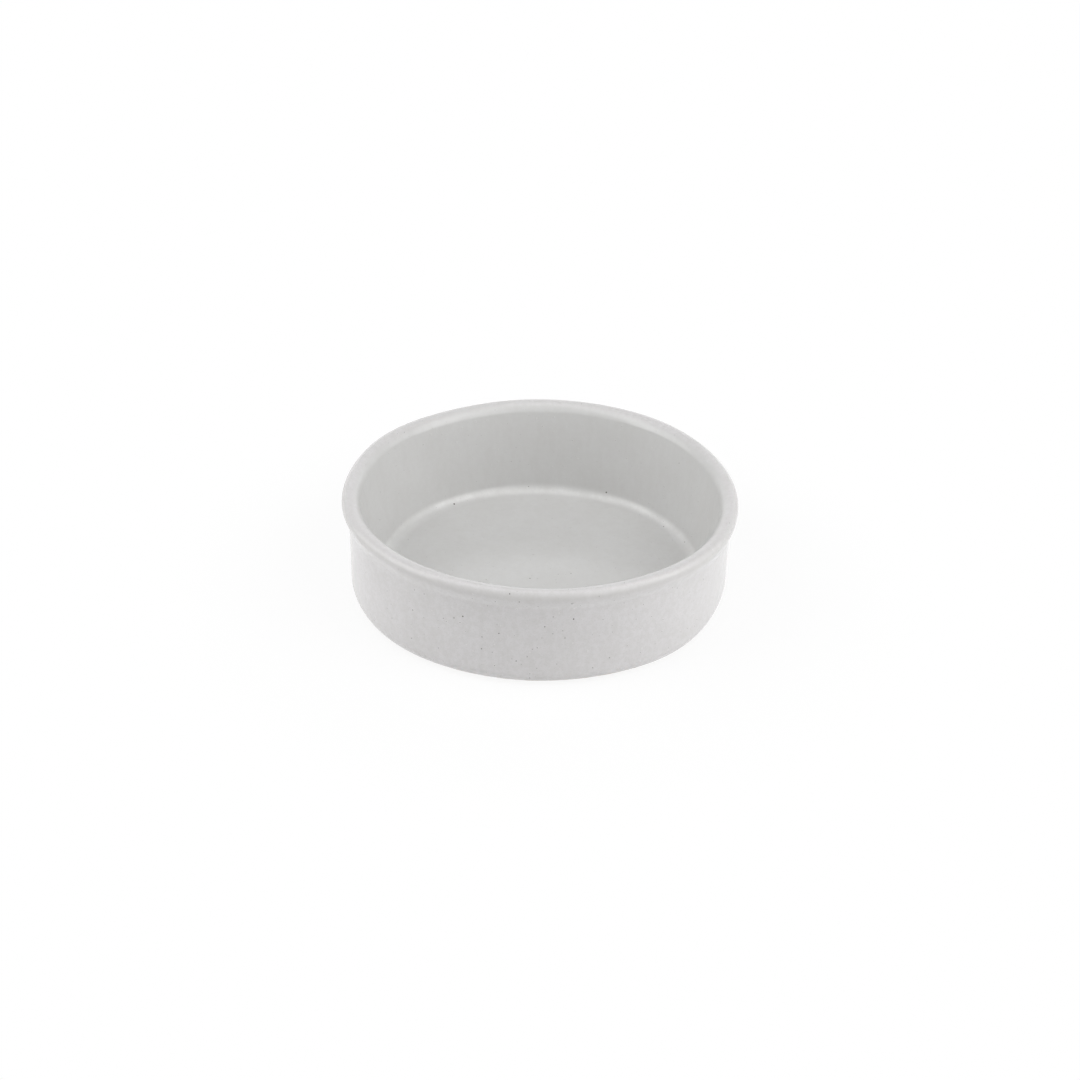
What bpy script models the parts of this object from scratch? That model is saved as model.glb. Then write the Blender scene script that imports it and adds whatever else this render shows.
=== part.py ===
"""Round stoneware tapas dish: one thrown body with a rolled lip, an outside collar and a foot ring.

Metres, +Z up. The origin is the centre of the foot ring, on the surface that the dish stands on.
The whole section, from the middle of the floor over the lip to the middle of the underside, is one
profile in the XZ plane, turned about Z as a potter's jigger turns it.
"""
import math

import bpy

# Overall sizes
RIM_DIAMETER = 0.1455  # across the collar, the widest part
HEIGHT = 0.040  # from the foot ring to the top of the lip

# Lip and collar, a run of rounds that pass into each other without a kink
LIP_RADIUS = 0.0022  # outwards from the highest line of the lip
SHOULDER_RADIUS = 0.0044  # inwards from there into the inner wall
FACE_RADIUS = 0.0032  # the collar's outer side, down to the widest part
FACE_START = math.radians(20)  # direction, from outwards towards up, where it leaves the lip
BEAD_RADIUS = 0.0045  # below the widest part
UNDERSIDE_LEAN = math.radians(25)  # from upright, of the collar's run back to the wall
COLLAR_OVERHANG = 0.0024  # how far the collar stands out from the wall
COLLAR_FILLET = 0.009  # easy hollow in which the collar ends on the wall

# Wall, floor and the cove that joins them
WALL_TAPER = math.radians(11.5)  # from upright, of the inner wall
FLOOR_THICKNESS = 0.0034
COVE_RADIUS = 0.0045

# Heel and foot
HEEL_RADIUS = 0.0055  # rounding from the outer wall to the foot ring
FOOT_RING_WIDTH = 0.0045  # the flat ring that the dish stands on
RECESS_DEPTH = 0.0008  # how far the underside is turned out inside the foot ring
RECESS_SLOPE = 0.0016  # width of the soft step from the foot ring up to the recess

# Fineness of the faceted surface
TURN_STEPS = 80
ARC_STEP = math.radians(12)
SOFT_STEP_POINTS = 6
MERGE_DISTANCE = 0.00001

# Glaze, as a linear colour
GLAZE_COLOR = (0.66, 0.66, 0.65, 1.0)
GLAZE_ROUGHNESS = 0.32

UP = math.pi / 2


def clear_scene():
    """Removes whatever the open file holds, so that only the dish is left."""
    for item in list(bpy.data.objects):
        bpy.data.objects.remove(item, do_unlink=True)


def offset(point, distance, angle):
    """The point at a distance, the angle counted from the outward direction towards the upward one."""
    return (point[0] + distance * math.cos(angle), point[1] + distance * math.sin(angle))


def arc(centre, radius, start, end):
    """Points of a circular arc in the profile's plane, both ends included."""
    steps = max(1, math.ceil(abs(end - start) / ARC_STEP))
    return [offset(centre, radius, start + (end - start) * i / steps) for i in range(steps + 1)]


def soft_step(start, end):
    """Points after start up to end. The height leaves and arrives gently, along half a cosine wave."""
    points = []
    for i in range(1, SOFT_STEP_POINTS + 1):
        across = i / SOFT_STEP_POINTS
        up = (1 - math.cos(math.pi * across)) / 2
        points.append((start[0] + (end[0] - start[0]) * across, start[1] + (end[1] - start[1]) * up))
    return points


def inside_profile(wall_top):
    """From the middle of the floor outwards and round the cove, which touches floor and wall."""
    floor_height = RECESS_DEPTH + FLOOR_THICKNESS
    wall_foot = wall_top[0] - (wall_top[1] - floor_height) * math.tan(WALL_TAPER)
    cove_turn = UP - WALL_TAPER
    cove_centre = (wall_foot - COVE_RADIUS * math.tan(cove_turn / 2), floor_height + COVE_RADIUS)
    return [(0, floor_height)] + arc(cove_centre, COVE_RADIUS, -UP, -WALL_TAPER)


def lip_profile(rim_radius):
    """From the top of the inner wall over the lip and down the collar to the end of its bead."""
    widest_height = HEIGHT - LIP_RADIUS - (FACE_RADIUS - LIP_RADIUS) * math.sin(FACE_START)
    face_centre = (rim_radius - FACE_RADIUS, widest_height)
    bead_centre = (rim_radius - BEAD_RADIUS, widest_height)
    lip_centre = offset(face_centre, FACE_RADIUS - LIP_RADIUS, FACE_START)
    shoulder_centre = (lip_centre[0], HEIGHT - SHOULDER_RADIUS)
    shoulder = arc(shoulder_centre, SHOULDER_RADIUS, math.pi - WALL_TAPER, UP)
    lip = arc(lip_centre, LIP_RADIUS, UP, FACE_START)
    face = arc(face_centre, FACE_RADIUS, FACE_START, 0)
    bead = arc(bead_centre, BEAD_RADIUS, 0, -UNDERSIDE_LEAN)
    return shoulder + lip[1:] + face[1:] + bead[1:]


def collar_foot_profile(bead_end, body_radius):
    """The hollow in which the leaning underside of the collar ends on the outer wall."""
    fillet_width = COLLAR_FILLET * (1 - math.cos(UNDERSIDE_LEAN))
    straight_width = bead_end[0] - body_radius - fillet_width
    fillet_top = bead_end[1] - straight_width / math.tan(UNDERSIDE_LEAN)
    centre = (body_radius + COLLAR_FILLET, fillet_top - COLLAR_FILLET * math.sin(UNDERSIDE_LEAN))
    return arc(centre, COLLAR_FILLET, math.pi - UNDERSIDE_LEAN, math.pi)


def foot_profile(body_radius):
    """Round the heel, across the flat foot ring and up into the recess of the underside."""
    ring_outside = body_radius - HEEL_RADIUS
    ring_edge = (ring_outside - FOOT_RING_WIDTH, 0)
    recess_edge = (ring_edge[0] - RECESS_SLOPE, RECESS_DEPTH)
    heel = arc((ring_outside, HEEL_RADIUS), HEEL_RADIUS, 0, -UP)
    return heel + [ring_edge] + soft_step(ring_edge, recess_edge) + [(0, RECESS_DEPTH)]


def dish_profile():
    """The full section as (radius, height) points, floor middle to underside middle."""
    rim_radius = RIM_DIAMETER / 2
    body_radius = rim_radius - COLLAR_OVERHANG
    lip = lip_profile(rim_radius)
    outside = collar_foot_profile(lip[-1], body_radius) + foot_profile(body_radius)
    return inside_profile(lip[0]) + lip + outside


def glaze_material():
    """Satin off-white glaze."""
    material = bpy.data.materials.new("satin_glaze")
    material.use_nodes = True
    shader = material.node_tree.nodes["Principled BSDF"]
    shader.inputs["Base Color"].default_value = GLAZE_COLOR
    shader.inputs["Roughness"].default_value = GLAZE_ROUGHNESS
    shader.inputs["Metallic"].default_value = 0.0
    material.diffuse_color = GLAZE_COLOR
    return material


def turned_object(name, profile, material, collection):
    """An object whose profile, given from the top down its outer side, is turned about Z."""
    points = [(radius, 0, height) for radius, height in profile]
    edges = [(i, i + 1) for i in range(len(points) - 1)]
    mesh = bpy.data.meshes.new(name)
    mesh.from_pydata(points, edges, [])
    mesh.materials.append(material)
    item = bpy.data.objects.new(name, mesh)
    collection.objects.link(item)
    turn = item.modifiers.new("turn", "SCREW")
    turn.axis = "Z"
    turn.angle = 2 * math.pi
    turn.steps = TURN_STEPS
    turn.render_steps = TURN_STEPS
    turn.use_merge_vertices = True
    turn.merge_threshold = MERGE_DISTANCE
    turn.use_smooth_shade = True
    return item


def build():
    """Builds the dish in a collection of its own."""
    clear_scene()
    collection = bpy.data.collections.new("tapas_dish")
    bpy.context.scene.collection.children.link(collection)
    turned_object("dish", dish_profile(), glaze_material(), collection)


build()
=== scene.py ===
"""Looks of the stoneware tapas dish: its glazed surface, foot, light, floor and camera.

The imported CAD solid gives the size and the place. One dense turned mesh stands for it here, with the
slight unevenness of a fired dish, and carries the speckled satin glaze and the bare foot ring.
"""
import math

import bpy
import numpy as np
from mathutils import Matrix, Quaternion, Vector
from mathutils.bvhtree import BVHTree


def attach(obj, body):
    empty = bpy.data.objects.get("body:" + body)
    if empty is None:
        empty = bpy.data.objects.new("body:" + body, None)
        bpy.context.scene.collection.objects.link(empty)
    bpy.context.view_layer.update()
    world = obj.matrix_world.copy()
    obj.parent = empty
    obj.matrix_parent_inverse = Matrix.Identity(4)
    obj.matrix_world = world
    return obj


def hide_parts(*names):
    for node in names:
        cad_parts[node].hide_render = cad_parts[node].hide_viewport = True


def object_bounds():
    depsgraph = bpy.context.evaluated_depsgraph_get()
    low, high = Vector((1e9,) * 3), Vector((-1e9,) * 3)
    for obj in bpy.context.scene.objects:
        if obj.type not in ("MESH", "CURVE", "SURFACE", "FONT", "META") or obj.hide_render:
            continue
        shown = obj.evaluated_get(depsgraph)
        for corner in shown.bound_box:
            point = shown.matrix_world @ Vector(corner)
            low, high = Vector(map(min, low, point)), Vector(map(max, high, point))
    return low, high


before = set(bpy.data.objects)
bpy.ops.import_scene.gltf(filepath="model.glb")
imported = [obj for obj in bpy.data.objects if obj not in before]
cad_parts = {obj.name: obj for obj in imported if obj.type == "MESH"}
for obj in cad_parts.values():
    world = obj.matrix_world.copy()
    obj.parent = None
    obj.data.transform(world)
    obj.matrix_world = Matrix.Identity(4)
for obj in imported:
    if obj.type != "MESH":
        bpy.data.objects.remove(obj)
cad_low, cad_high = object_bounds()

MM = 0.001

# Sizes of the section, as in the CAD solid
RIM_RADIUS = cad_high.x
HEIGHT = cad_high.z
COLLAR_OVERHANG = 2.4 * MM
LIP_RADIUS = 2.2 * MM
SHOULDER_RADIUS = 4.4 * MM
FACE_RADIUS = 3.2 * MM
FACE_START = math.radians(20)
BEAD_RADIUS = 4.5 * MM
BEAD_END = math.radians(-25)
COLLAR_FILLET = 9.0 * MM
WALL_TAPER = math.radians(11.5)
FLOOR_HEIGHT = 4.2 * MM
COVE_RADIUS = 4.5 * MM
HEEL_RADIUS = 5.5 * MM
FOOT_RING_WIDTH = 4.5 * MM
RECESS_DEPTH = 0.8 * MM
RECESS_SLOPE = 1.6 * MM

# The uneven dish is on average a little smaller than the round CAD solid, and stays inside its box
MEAN_SIZE = 0.99

# Out-of-round of the fired dish, as lobes of (count, size, direction of the first lobe in degrees)
RIM_LOBES = [
    (2, 0.12 * MM, -8), (3, 0.41 * MM, -140), (4, 0.20 * MM, -130), (5, 0.09 * MM, -56),
    (6, 0.14 * MM, 167), (7, 0.09 * MM, -59), (8, 0.13 * MM, 72),
]
BODY_LOBES = [
    (2, 0.43 * MM, 79), (3, 0.18 * MM, -106), (4, 0.23 * MM, 152), (5, 0.13 * MM, 93),
    (6, 0.10 * MM, 76), (7, 0.09 * MM, 42), (8, 0.14 * MM, 23),
]
RIM_WAVES = [(2, 0.05 * MM, 113), (3, 0.04 * MM, 147)]  # of the rim's height
BODY_BELOW = 12 * MM  # the body's lobes hold up to here
RIM_ABOVE = 34.5 * MM  # the rim's lobes hold from here

# Fineness of the mesh
TURN_STEPS = 400
COARSE = 2.4 * MM  # spacing of rings on the flats
FINE = 0.9 * MM  # on the walls
COVE_SPACING = FINE * 0.6
FINEST = 0.36 * MM  # on the lip, collar, heel and foot

# Camera, fitted to the dish's outline in the 1080 x 1080 photograph
PHOTO_SIZE = 1080
CAMERA_TARGET = Vector((0, 0, 19.8 * MM))
CAMERA_DISTANCE = 0.693
CAMERA_ELEVATION = math.radians(31.02)
CAMERA_ROLL = math.radians(1.27)
PIXELS_PER_METRE = 2704.7  # at the target
TARGET_PIXEL = (540.01, 533.65)  # where the target falls, from the photograph's top left corner
SENSOR = 36.0  # width in millimetres
CLIP_START = 0.01

# Glaze and clay, as linear colours
GLAZE = (0.73, 0.717, 0.724, 1)  # outside and on the lip; its lavender cast is a painted tint of the studio light
# the same glaze, darker and greener inside the dish: painted shade of its hollow
GLAZE_INSIDE_SHADED = (0.69, 0.69, 0.683, 1)
GLAZE_THIN_AND_SHADE = (0.61, 0.60, 0.585, 1)  # where the clay shows through, and as painted shade on the collar's edge
GLAZE_PAINTED_LIGHT = (0.86, 0.86, 0.85, 1)  # paler colour painted as light: the cove's highlight and the lit hollow below the collar
GLAZE_PINHOLE_HIGHLIGHT = (0.86, 0.85, 0.85, 1)  # painted highlight round a pinhole
# iron specks, and the painted shade in a pinhole
IRON_AND_PIT_SHADE = (0.07, 0.06, 0.05, 1)
CLAY_LIGHT = (0.56, 0.47, 0.37, 1)
CLAY_DARK = (0.40, 0.32, 0.24, 1)
GLAZE_ROUGHNESS = (0.15, 0.20)  # least and most
IRON_ROUGHNESS = 0.4
CLAY_ROUGHNESS = 0.85

# Patterns of the surface: how wide they are
CLOUD_SIZE = 18 * MM
STREAK_WIDTH = 3.5 * MM
STREAK_STRETCH = (1, 1, 0.25)  # streaks are four times as long up the wall as they are wide
GRAIN_SIZE = 0.5 * MM
RING_SPACING = 1.6 * MM  # of the turning marks
WAVE_SIZE = 7 * MM
PEEL_SIZE = 1.8 * MM
FRECKLE_CELL = 1.7 * MM
FRECKLE_RADIUS = 0.22 * MM
PINHOLE_CELL = 2.4 * MM
PINHOLE_RADIUS = 0.32 * MM
SWELLING_RADIUS = 2 * PINHOLE_RADIUS  # of the glaze round a pinhole
BALL_POWER = 2.0  # the higher, the fewer of the scattered balls are large
BALL_FULL = 0.5  # share of a scattered ball's radius within which it is at full strength
SPOT_EDGE = (1.5, 0.9)  # shares of a placed spot's radius: where it has gone, and where it is full

# How high they stand in the relief
WAVE_RISE = 0.14 * MM
PEEL_RISE = 0.025 * MM
RING_RISE = 0.003 * MM
SWELLING_RISE = 0.06 * MM
PINHOLE_DEPTH = 3 * SWELLING_RISE
IRON_RISE = 0.02 * MM
CLAY_RISE = 0.06 * MM

# Levels of each noise between which it grows from nothing to its full effect
NOISE_RANGE = (0.3, 0.7)
STREAK_RANGE = (0.4, 0.75)
RING_RANGE = (0.5, 0.8)
PEEL_RANGE = (0.35, 0.65)
GRAIN_RANGE = (0.45, 0.75)

# How strongly they tint the glaze
CLOUD_SHARE = 0.20
STREAK_SHARE = 0.16
RING_SHARE = 0.06
PEEL_SHARE = 0.30
GRAIN_SHARE = 0.45
# painted highlight round a pinhole and painted shade in it
SWELLING_HIGHLIGHT_SHARE = 0.55
PINHOLE_SHADE_SHARE = 0.60
FRECKLE_SHARE = 0.75
INSIDE_END = (66 * MM, 69 * MM)  # where the painted shade of the inner glaze passes into the outer colour, from the axis
INSIDE_SMOOTH = 0.4  # strength of the fine patterns inside, as a share of the outside

# Rings of painted light and shade about the axis, as radius and height
# painted highlight along the cove
COVE_HIGHLIGHT = (58.8 * MM, 5.7 * MM)
COVE_HIGHLIGHT_REACH = 2.4 * MM
COVE_HIGHLIGHT_SHARE = (0.6, 1.0)  # least and most
COVE_HIGHLIGHT_STRETCH = (0.978, 1.02, 0)  # it lies wider along X than along Y
# painted light in the hollow below the collar
COLLAR_HOLLOW_LIGHT = (70.0 * MM, 33.8 * MM)
COLLAR_HOLLOW_LIGHT_REACH = 2.2 * MM
COLLAR_HOLLOW_LIGHT_SHARE = 0.25
# painted shade on the collar's edge
COLLAR_EDGE_SHADE = (72.0 * MM, 37.6 * MM)
COLLAR_EDGE_SHADE_REACH = 2.8 * MM
COLLAR_EDGE_SHADE_SHARE = 0.5

# The bare foot
GLAZE_LINE = (1.1 * MM, 1.9 * MM)  # lowest and highest place of the glaze's lower edge
GLAZE_LINE_WAVE = 6 * MM
GLAZE_LINE_EDGE = 0.15 * MM
BARE_FROM = (58.6 * MM, 59.4 * MM)  # from the axis; the recess of the underside is glazed

# The larger iron spots, each at its pixel in the photograph, with its radius in millimetres
SPOT_PIXELS = [
    (454.2, 504.0, 0.28), (606.3, 492.4, 0.25), (573.6, 619.1, 0.22), (462.8, 616.4, 0.21),
    (572.0, 603.8, 0.19), (530.0, 578.3, 0.18), (454.0, 617.9, 0.16), (509.7, 593.9, 0.16),
    (544.8, 626.8, 0.16), (481.6, 648.8, 0.16), (498.9, 633.4, 0.17), (519.3, 602.0, 0.16),
    (684.7, 542.0, 0.15), (516.2, 661.0, 0.16), (565.0, 638.0, 0.14), (411.6, 638.2, 0.14),
    (482.0, 636.9, 0.14), (571.0, 573.4, 0.14), (663.6, 526.6, 0.14), (424.1, 594.0, 0.13),
    (609.5, 657.8, 0.13), (592.7, 667.8, 0.13), (528.6, 486.5, 0.13), (679.1, 463.1, 0.12),
]

# The studio's panels. Azimuth 0 is the camera's side and 90 the right. Sizes are in metres.
PANEL_DISTANCE = 1.0  # of the standing ones
STANDING_PANELS = [  # name, azimuth, width, height, radiance
    ("left_near", -70, 0.5, 1.0, 2.5),
    ("left_far", -98, 0.5, 1.0, 1.4),
    ("right_near", 70, 0.5, 1.0, 2.45),
    ("right_far", 98, 0.5, 1.0, 0.8),
    ("right_front", 40, 0.5, 1.0, 1.4),
    ("back", 180, 1.4, 0.8, 0.4),
]
HANGING_PANELS = [  # name, azimuth, elevation, distance, width, height, radiance
    ("left_top", -70, 56, 1.2, 0.7, 0.5, 1.8),
    ("right_top", 70, 56, 1.2, 0.7, 0.5, 2.0),
    ("top", 0, 90, 1.3, 0.9, 0.7, 1.2),
]

# Floor and surroundings
FLOOR_SIZE = 6
FLOOR_COLOR = (0.85, 0.85, 0.85, 1)  # as it lights the dish
DIM = (0.18, 0.18, 0.18, 1)  # the surroundings, as they light the dish
WHITE = (1, 1, 1, 1)
SHADOW_WHITE = 0.9  # share of plain white in the floor at the dish, whose shadow shows in the rest
SHADOW_END = 0.15  # from the axis; the floor is plain white from here on

UP = math.pi / 2


def line(start, end, spacing):
    """Points after start up to end, no further apart than spacing."""
    count = max(1, math.ceil(math.dist(start, end) / spacing))
    return [tuple(a + (b - a) * i / count for a, b in zip(start, end)) for i in range(1, count + 1)]


def arc(centre, radius, start, end, spacing):
    """Points of an arc, both ends included, angles counted from outwards towards up."""
    count = max(1, math.ceil(abs(end - start) * radius / spacing))
    angles = [start + (end - start) * i / count for i in range(count + 1)]
    return [(centre[0] + radius * math.cos(a), centre[1] + radius * math.sin(a)) for a in angles]


def rounded_corner(before, corner, after, radius, spacing):
    """Points of the arc that rounds off a corner of the profile."""
    corner = Vector(corner)
    back = (Vector(before) - corner).normalized()
    on = (Vector(after) - corner).normalized()
    half = back.angle(on) / 2
    centre = corner + (back + on).normalized() * radius / math.sin(half)
    first = corner + back * radius / math.tan(half) - centre
    turn = math.pi - 2 * half
    if back.x * on.y > back.y * on.x:
        turn = -turn
    start = math.atan2(first.y, first.x)
    return arc(centre, radius, start, start + turn, spacing)


def soft_step(start, end, spacing):
    """Points after start up to end, the height following half a cosine wave."""
    count = max(1, math.ceil(math.dist(start, end) / spacing))
    points = []
    for i in range(1, count + 1):
        rise = (1 - math.cos(math.pi * i / count)) / 2
        points.append((start[0] + (end[0] - start[0]) * i / count, start[1] + (end[1] - start[1]) * rise))
    return points


def joined(pieces, spacings):
    """One row of points through the pieces, with straight runs between them filled in."""
    points = list(pieces[0])
    for piece, spacing in zip(pieces[1:], spacings):
        points += line(points[-1], piece[0], spacing) + list(piece[1:])
    return points


def dish_section():
    """(radius, height) points from the middle of the floor over the lip to the middle of the base."""
    body = RIM_RADIUS - COLLAR_OVERHANG
    lip = (
        RIM_RADIUS - FACE_RADIUS + (FACE_RADIUS - LIP_RADIUS) * math.cos(FACE_START),
        HEIGHT - LIP_RADIUS,
    )
    face = (RIM_RADIUS - FACE_RADIUS, lip[1] - (FACE_RADIUS - LIP_RADIUS) * math.sin(FACE_START))
    bead = (RIM_RADIUS - BEAD_RADIUS, face[1])
    shoulder = (lip[0], HEIGHT - SHOULDER_RADIUS)
    shoulder_round = arc(shoulder, SHOULDER_RADIUS, math.pi - WALL_TAPER, UP, FINEST)
    lip_round = arc(lip, LIP_RADIUS, UP, FACE_START, FINEST)
    face_round = arc(face, FACE_RADIUS, FACE_START, 0, FINEST)
    bead_round = arc(bead, BEAD_RADIUS, 0, BEAD_END, FINEST)
    under_end = bead_round[-1]
    body_top = (body, under_end[1] - (under_end[0] - body) / math.tan(-BEAD_END))
    collar_foot = rounded_corner(under_end, body_top, (body, HEEL_RADIUS), COLLAR_FILLET, FINEST)

    floor_middle = (0, FLOOR_HEIGHT)
    wall_top = shoulder_round[0]
    wall_foot = (wall_top[0] - (wall_top[1] - FLOOR_HEIGHT) * math.tan(WALL_TAPER), FLOOR_HEIGHT)
    cove = rounded_corner(floor_middle, wall_foot, wall_top, COVE_RADIUS, COVE_SPACING)

    heel = arc((body - HEEL_RADIUS, HEEL_RADIUS), HEEL_RADIUS, 0, -UP, FINEST)
    ring_inside = (heel[-1][0] - FOOT_RING_WIDTH, 0)
    recess = soft_step(ring_inside, (ring_inside[0] - RECESS_SLOPE, RECESS_DEPTH), FINEST)
    lip_rounds = shoulder_round + lip_round[1:] + face_round[1:] + bead_round[1:]
    pieces = [
        [floor_middle], cove, lip_rounds, collar_foot, heel, [ring_inside] + recess, [(0, RECESS_DEPTH)],
    ]
    return np.array(joined(pieces, [COARSE, FINE, FINEST, FINE, FINEST, COARSE]))


def lobes(terms, angles):
    """Sum of the lobes at each angle about Z."""
    return sum(size * np.cos(count * angles - math.radians(turn)) for count, size, turn in terms)


def smooth_ramp(values, low, high):
    """0 below low and 1 above high, with a soft passage between."""
    share = np.clip((values - low) / (high - low), 0, 1)
    return share * share * (3 - 2 * share)


def uneven_turning(section):
    """Points of the turned section in rings, out of round as the fired dish is."""
    angles = np.arange(TURN_STEPS) * 2 * math.pi / TURN_STEPS
    radius, height = section[:, 0][:, None], section[:, 1][:, None]
    rim_share = smooth_ramp(height, BODY_BELOW, RIM_ABOVE)
    swell = rim_share * lobes(RIM_LOBES, angles) + (1 - rim_share) * lobes(BODY_LOBES, angles)
    radius = radius + swell * radius / RIM_RADIUS
    height = height + rim_share * lobes(RIM_WAVES, angles)
    return np.stack([radius * np.cos(angles), radius * np.sin(angles), height + 0 * angles], axis=-1)


def turned_mesh(name, section):
    """A closed mesh of rings about Z. The section's first and last points lie on the axis."""
    rings = uneven_turning(section[1:-1])
    count = len(rings) * TURN_STEPS
    ends = [[0, 0, section[0][1]], [0, 0, section[-1][1]]]
    vertices = np.concatenate([rings.reshape(-1, 3), ends])
    here = np.arange(TURN_STEPS)
    beside = (here + 1) % TURN_STEPS
    faces = []
    for ring in range(len(rings) - 1):
        inner, outer = ring * TURN_STEPS, (ring + 1) * TURN_STEPS
        faces += np.stack([inner + here, outer + here, outer + beside, inner + beside], axis=1).tolist()
    last = (len(rings) - 1) * TURN_STEPS
    faces += [[count, int(a), int(b)] for a, b in zip(here, beside)]
    faces += [[count + 1, int(last + b), int(last + a)] for a, b in zip(here, beside)]
    mesh = bpy.data.meshes.new(name)
    mesh.from_pydata(vertices.tolist(), [], faces)
    mesh.shade_smooth()
    mesh.update()
    return mesh


def dish_piece():
    """The dish in its dense, uneven mesh, without its material."""
    mesh = turned_mesh("dish_glazed", dish_section() * MEAN_SIZE)
    piece = bpy.data.objects.new("dish_glazed", mesh)
    bpy.context.scene.collection.objects.link(piece)
    return piece


def iron_spots(piece):
    """Where the photograph's larger spots lie on the piece, with each spot's radius in metres."""
    mesh = piece.data
    surface = BVHTree.FromPolygons([v.co for v in mesh.vertices], [p.vertices for p in mesh.polygons])
    camera = bpy.context.scene.camera
    focal = PIXELS_PER_METRE * CAMERA_DISTANCE
    spots = []
    for x, y, size in SPOT_PIXELS:
        sight = Vector((x - TARGET_PIXEL[0], TARGET_PIXEL[1] - y, -focal)).normalized()
        place = surface.ray_cast(camera.location, camera.rotation_quaternion @ sight)[0]
        spots.append((place, size * MM))
    return spots


def feed(tree, socket, value):
    """Links the socket to the value, if that is a socket too, or gives it the value."""
    if isinstance(value, bpy.types.NodeSocket):
        tree.links.new(value, socket)
    else:
        socket.default_value = value


def add_node(tree, kind, inputs=None, **settings):
    """A shader node with its settings and inputs."""
    node = tree.nodes.new(kind)
    for name, value in settings.items():
        setattr(node, name, value)
    for key, value in (inputs or {}).items():
        feed(tree, node.inputs[key], value)
    return node


def calculate(tree, operation, a, b):
    """One arithmetic operation on two numbers or sockets."""
    return add_node(tree, "ShaderNodeMath", {0: a, 1: b}, operation=operation).outputs[0]


def remap(tree, value, low, high, to_low=0.0, to_high=1.0):
    """The value eased from low..high onto to_low..to_high, and held beyond them."""
    inputs = {"Value": value, "From Min": low, "From Max": high, "To Min": to_low, "To Max": to_high}
    return add_node(tree, "ShaderNodeMapRange", inputs, interpolation_type="SMOOTHSTEP").outputs[0]


def mix(tree, share, a, b):
    """The colour a, turned into b by the share."""
    inputs = {"Factor": share, "A": a, "B": b}
    node = add_node(tree, "ShaderNodeMix", data_type="RGBA")
    for socket in node.inputs:
        if socket.enabled and socket.name in inputs:
            feed(tree, socket, inputs[socket.name])
    return next(socket for socket in node.outputs if socket.enabled)


def noise(tree, place, size, detail=2.0):
    """Noise about one half, with features of about the given size."""
    inputs = {"Vector": place, "Scale": 1 / size, "Detail": detail}
    return add_node(tree, "ShaderNodeTexNoise", inputs).outputs["Fac"]


def scattered_balls(tree, place, cell, largest):
    """1 inside small balls strewn about a cell apart, of unlike radius up to the largest, else 0."""
    cells = add_node(tree, "ShaderNodeTexVoronoi", {"Vector": place, "Scale": 1 / cell})
    chance = add_node(tree, "ShaderNodeSeparateColor", {0: cells.outputs["Color"]}).outputs[0]
    radius = calculate(tree, "MULTIPLY", calculate(tree, "POWER", chance, BALL_POWER), largest / cell)
    return remap(tree, cells.outputs["Distance"], radius, calculate(tree, "MULTIPLY", radius, BALL_FULL))


def placed_balls(tree, place, spots):
    """1 inside the given balls, else 0."""
    total = 0.0
    gone, full = SPOT_EDGE
    for centre, radius in spots:
        gap = add_node(tree, "ShaderNodeVectorMath", {0: place, 1: centre}, operation="DISTANCE")
        ball = remap(tree, gap.outputs["Value"], radius * gone, radius * full)
        total = calculate(tree, "MAXIMUM", ball, total)
    return total


def stretched(tree, place, stretch):
    """The place with each of its coordinates multiplied."""
    return add_node(tree, "ShaderNodeVectorMath", {0: place, 1: stretch}, operation="MULTIPLY").outputs[0]


def turning_place(tree, place, stretch=(1, 1, 0)):
    """Distance from the axis, height, and both as a place in which all that is drawn becomes rings."""
    flat = stretched(tree, place, stretch)
    away = add_node(tree, "ShaderNodeVectorMath", {0: flat}, operation="LENGTH").outputs["Value"]
    height = add_node(tree, "ShaderNodeSeparateXYZ", {0: place}).outputs["Z"]
    turning = add_node(tree, "ShaderNodeCombineXYZ", {"X": away, "Y": height}).outputs[0]
    return away, height, turning


def near_ring(tree, turning, ring, reach):
    """1 at a ring about the axis, given as radius and height, easing to 0 at the reach."""
    gap = add_node(tree, "ShaderNodeVectorMath", {0: turning, 1: (*ring, 0)}, operation="DISTANCE")
    return remap(tree, gap.outputs["Value"], reach, 0.0)


def bare_clay(tree, place, away, height):
    """1 where the foot is bare, below the glaze's uneven lower edge and outside the glazed recess."""
    edge_height = remap(tree, noise(tree, place, GLAZE_LINE_WAVE), *NOISE_RANGE, *GLAZE_LINE)
    below = calculate(tree, "SUBTRACT", edge_height, height)
    outside = remap(tree, away, *BARE_FROM)
    return calculate(tree, "MULTIPLY", remap(tree, below, 0.0, GLAZE_LINE_EDGE), outside)


def painted_light_rings(tree, place, turning, waves, color):
    """The colour with rings of painted light and shade: a painted highlight along the cove, painted light
    in the hollow below the collar, painted shade on the collar's edge.
    """
    cove_turning = turning_place(tree, place, COVE_HIGHLIGHT_STRETCH)[2]
    cove_highlight = near_ring(tree, cove_turning, COVE_HIGHLIGHT, COVE_HIGHLIGHT_REACH)
    cove_highlight_share = remap(tree, waves, *NOISE_RANGE, *COVE_HIGHLIGHT_SHARE)
    collar_hollow_light = near_ring(tree, turning, COLLAR_HOLLOW_LIGHT, COLLAR_HOLLOW_LIGHT_REACH)
    collar_edge_shade = near_ring(tree, turning, COLLAR_EDGE_SHADE, COLLAR_EDGE_SHADE_REACH)
    for ring, share, tint in (
        (cove_highlight, cove_highlight_share, GLAZE_PAINTED_LIGHT),
        (collar_hollow_light, COLLAR_HOLLOW_LIGHT_SHARE, GLAZE_PAINTED_LIGHT),
        (collar_edge_shade, COLLAR_EDGE_SHADE_SHARE, GLAZE_THIN_AND_SHADE),
    ):
        color = mix(tree, calculate(tree, "MULTIPLY", ring, share), color, tint)
    return color


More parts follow.
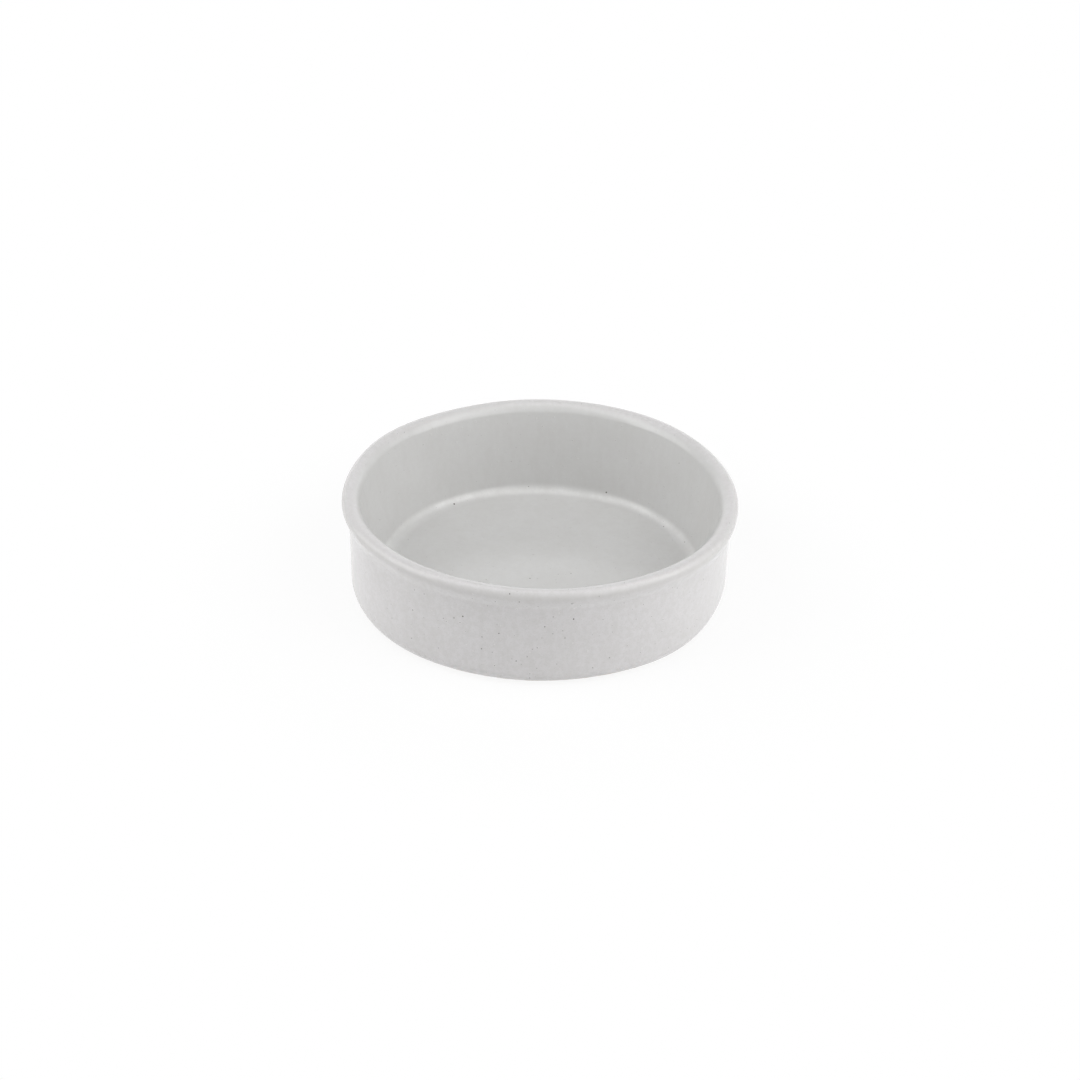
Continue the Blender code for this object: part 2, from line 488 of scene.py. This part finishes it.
def glaze_material(spots):
    """Satin stoneware glaze: clouded, streaked, grained, with iron spots and pinholes, and painted light
    and shade. The foot is bare.
    """
    material = bpy.data.materials.new("speckled_glaze")
    material.use_nodes = True
    tree = material.node_tree
    shader = tree.nodes["Principled BSDF"]
    place = add_node(tree, "ShaderNodeTexCoord").outputs["Object"]
    away, height, turning = turning_place(tree, place)

    clouds = noise(tree, place, CLOUD_SIZE, detail=3.0)
    streaks = noise(tree, stretched(tree, place, STREAK_STRETCH), STREAK_WIDTH)
    grain = noise(tree, place, GRAIN_SIZE)
    rings = noise(tree, turning, RING_SPACING)
    waves = noise(tree, place, WAVE_SIZE, detail=1.0)
    peel = noise(tree, place, PEEL_SIZE)
    freckles = scattered_balls(tree, place, FRECKLE_CELL, FRECKLE_RADIUS)
    pinholes_and_shade = scattered_balls(tree, place, PINHOLE_CELL, PINHOLE_RADIUS)
    swellings_and_highlights = scattered_balls(tree, place, PINHOLE_CELL, SWELLING_RADIUS)
    iron = placed_balls(tree, place, spots)
    bare = bare_clay(tree, place, away, height)

    # painted shade: the glaze colour is darker inside the dish than outside
    color = mix(tree, remap(tree, away, *INSIDE_END), GLAZE_INSIDE_SHADED, GLAZE)
    # painted highlight along the cove, painted light below the collar and painted shade on its edge
    color = painted_light_rings(tree, place, turning, waves, color)
    for pattern, limits, share in (
        (clouds, NOISE_RANGE, CLOUD_SHARE),
        (streaks, STREAK_RANGE, STREAK_SHARE),
        (rings, RING_RANGE, RING_SHARE),
    ):
        color = mix(tree, remap(tree, pattern, *limits, 0.0, share), color, GLAZE_THIN_AND_SHADE)
    coarseness = remap(tree, away, *INSIDE_END, INSIDE_SMOOTH, 1.0)
    for pattern, share, tint in (
        (remap(tree, peel, *PEEL_RANGE), PEEL_SHARE, GLAZE_THIN_AND_SHADE),
        (remap(tree, grain, *GRAIN_RANGE), GRAIN_SHARE, GLAZE_THIN_AND_SHADE),
        # painted highlight round each pinhole and painted shade in it
        (swellings_and_highlights, SWELLING_HIGHLIGHT_SHARE, GLAZE_PINHOLE_HIGHLIGHT),
        (pinholes_and_shade, PINHOLE_SHADE_SHARE, IRON_AND_PIT_SHADE),
        (freckles, FRECKLE_SHARE, IRON_AND_PIT_SHADE),
    ):
        share = calculate(tree, "MULTIPLY", coarseness, share)
        color = mix(tree, calculate(tree, "MULTIPLY", pattern, share), color, tint)
    color = mix(tree, iron, color, IRON_AND_PIT_SHADE)
    color = mix(tree, bare, color, mix(tree, grain, CLAY_DARK, CLAY_LIGHT))
    tree.links.new(color, shader.inputs["Base Color"])

    gloss = remap(tree, clouds, *NOISE_RANGE, *GLAZE_ROUGHNESS)
    for pattern, roughness in ((iron, IRON_ROUGHNESS), (bare, CLAY_ROUGHNESS)):
        gloss = calculate(tree, "MAXIMUM", gloss, calculate(tree, "MULTIPLY", pattern, roughness))
    tree.links.new(gloss, shader.inputs["Roughness"])

    relief = 0.0
    for pattern, rise in (
        (waves, WAVE_RISE),
        (peel, PEEL_RISE),
        (rings, RING_RISE),
        (swellings_and_highlights, SWELLING_RISE),
        (pinholes_and_shade, -PINHOLE_DEPTH),
        (iron, IRON_RISE),
        (calculate(tree, "MULTIPLY", grain, bare), CLAY_RISE),
    ):
        inputs = {0: pattern, 1: rise, 2: relief}
        relief = add_node(tree, "ShaderNodeMath", inputs, operation="MULTIPLY_ADD").outputs[0]
    bump = add_node(tree, "ShaderNodeBump", {"Height": relief, "Distance": 1.0})
    tree.links.new(bump.outputs[0], shader.inputs["Normal"])
    return material


def background_rays(tree):
    """1 for the rays that see the white background: the camera's and what gloss and glass show of it."""
    rays = add_node(tree, "ShaderNodeLightPath").outputs
    mirrored = calculate(tree, "MAXIMUM", rays["Is Glossy Ray"], rays["Is Transmission Ray"])
    return calculate(tree, "MAXIMUM", rays["Is Camera Ray"], mirrored)


def empty_tree(holder):
    """The node tree of a material or world, with its nodes cleared away."""
    holder.use_nodes = True
    holder.node_tree.nodes.clear()
    return holder.node_tree


def mix_shaders(tree, share, a, b):
    """The shader a, turned into b by the share."""
    return add_node(tree, "ShaderNodeMixShader", {"Fac": share, 1: a.outputs[0], 2: b.outputs[0]})


def studio_floor():
    """A wide pale floor that shows white to the camera and keeps a faint shadow of the dish."""
    bpy.ops.mesh.primitive_plane_add(size=FLOOR_SIZE, location=(0, 0, 0))
    floor = bpy.context.object
    floor.name = "floor"
    material = bpy.data.materials.new("studio_floor")
    tree = empty_tree(material)
    matte = add_node(tree, "ShaderNodeBsdfDiffuse", {"Color": FLOOR_COLOR})
    white_matte = add_node(tree, "ShaderNodeBsdfDiffuse", {"Color": WHITE})
    white = add_node(tree, "ShaderNodeEmission", {"Strength": 1.0})
    place = add_node(tree, "ShaderNodeTexCoord").outputs["Object"]
    away = add_node(tree, "ShaderNodeVectorMath", {0: place}, operation="LENGTH").outputs["Value"]
    white_share = remap(tree, away, RIM_RADIUS, SHADOW_END, SHADOW_WHITE, 1.0)
    shown = mix_shaders(tree, white_share, white_matte, white)
    seen = mix_shaders(tree, background_rays(tree), matte, shown)
    add_node(tree, "ShaderNodeOutputMaterial", {"Surface": seen.outputs[0]})
    floor.data.materials.append(material)


def studio_world():
    """Surroundings that show white, and light the dish dimly."""
    world = bpy.data.worlds.new("studio")
    bpy.context.scene.world = world
    tree = empty_tree(world)
    dim = add_node(tree, "ShaderNodeBackground", {"Color": DIM})
    white = add_node(tree, "ShaderNodeBackground", {"Color": WHITE})
    seen = mix_shaders(tree, background_rays(tree), dim, white)
    add_node(tree, "ShaderNodeOutputWorld", {"Surface": seen.outputs[0]})


def soft_panel(name, centre, facing, width, height, radiance):
    """An evenly lit panel with its middle at centre. It faces along the given direction."""
    lamp = bpy.data.lights.new(name, "AREA")
    lamp.shape = "RECTANGLE"
    lamp.size, lamp.size_y = width, height
    lamp.energy = radiance * math.pi * width * height
    item = bpy.data.objects.new(name, lamp)
    item.location = centre
    item.rotation_mode = "QUATERNION"
    item.rotation_quaternion = Vector(facing).to_track_quat("-Z", "Y")
    bpy.context.scene.collection.objects.link(item)


def direction(azimuth, elevation):
    """Azimuth 0 is the camera's side, 90 the right."""
    a, e = math.radians(azimuth), math.radians(elevation)
    return Vector((math.sin(a) * math.cos(e), -math.cos(a) * math.cos(e), math.sin(e)))


def standing_panel(name, azimuth, width, height, radiance):
    """A panel standing on the floor."""
    away = direction(azimuth, 0)
    middle = away * PANEL_DISTANCE + Vector((0, 0, height / 2))
    soft_panel(name, middle, -away, width, height, radiance)


def hanging_panel(name, azimuth, elevation, distance, width, height, radiance):
    """A panel above the dish, tilted to face it."""
    away = direction(azimuth, elevation)
    soft_panel(name, away * distance, -away, width, height, radiance)


def studio_lights():
    """Soft panels standing at both sides, a dim one at the back, and three that hang above the dish."""
    for panel in STANDING_PANELS:
        standing_panel(*panel)
    for panel in HANGING_PANELS:
        hanging_panel(*panel)


def photo_camera():
    """Camera at the photograph's viewing angle, with the target on its pixel."""
    away = Vector((0, -math.cos(CAMERA_ELEVATION), math.sin(CAMERA_ELEVATION)))
    camera = bpy.data.cameras.new("camera")
    camera.sensor_width = SENSOR
    camera.lens = PIXELS_PER_METRE * CAMERA_DISTANCE * SENSOR / PHOTO_SIZE
    middle = PHOTO_SIZE / 2
    camera.shift_x = (middle - TARGET_PIXEL[0]) / PHOTO_SIZE
    camera.shift_y = (TARGET_PIXEL[1] - middle) / PHOTO_SIZE
    camera.clip_start = CLIP_START
    item = bpy.data.objects.new("camera", camera)
    item.location = CAMERA_TARGET + away * CAMERA_DISTANCE
    item.rotation_mode = "QUATERNION"
    straight = (-away).to_track_quat("-Z", "Y")
    item.rotation_quaternion = straight @ Quaternion((0, 0, 1), CAMERA_ROLL)
    bpy.context.scene.collection.objects.link(item)
    bpy.context.scene.camera = item


bpy.context.scene.view_settings.view_transform = "Standard"
photo_camera()
studio_floor()
studio_world()
studio_lights()
dish = dish_piece()
dish.data.materials.append(glaze_material(iron_spots(dish)))
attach(dish, "root")
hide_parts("dish")
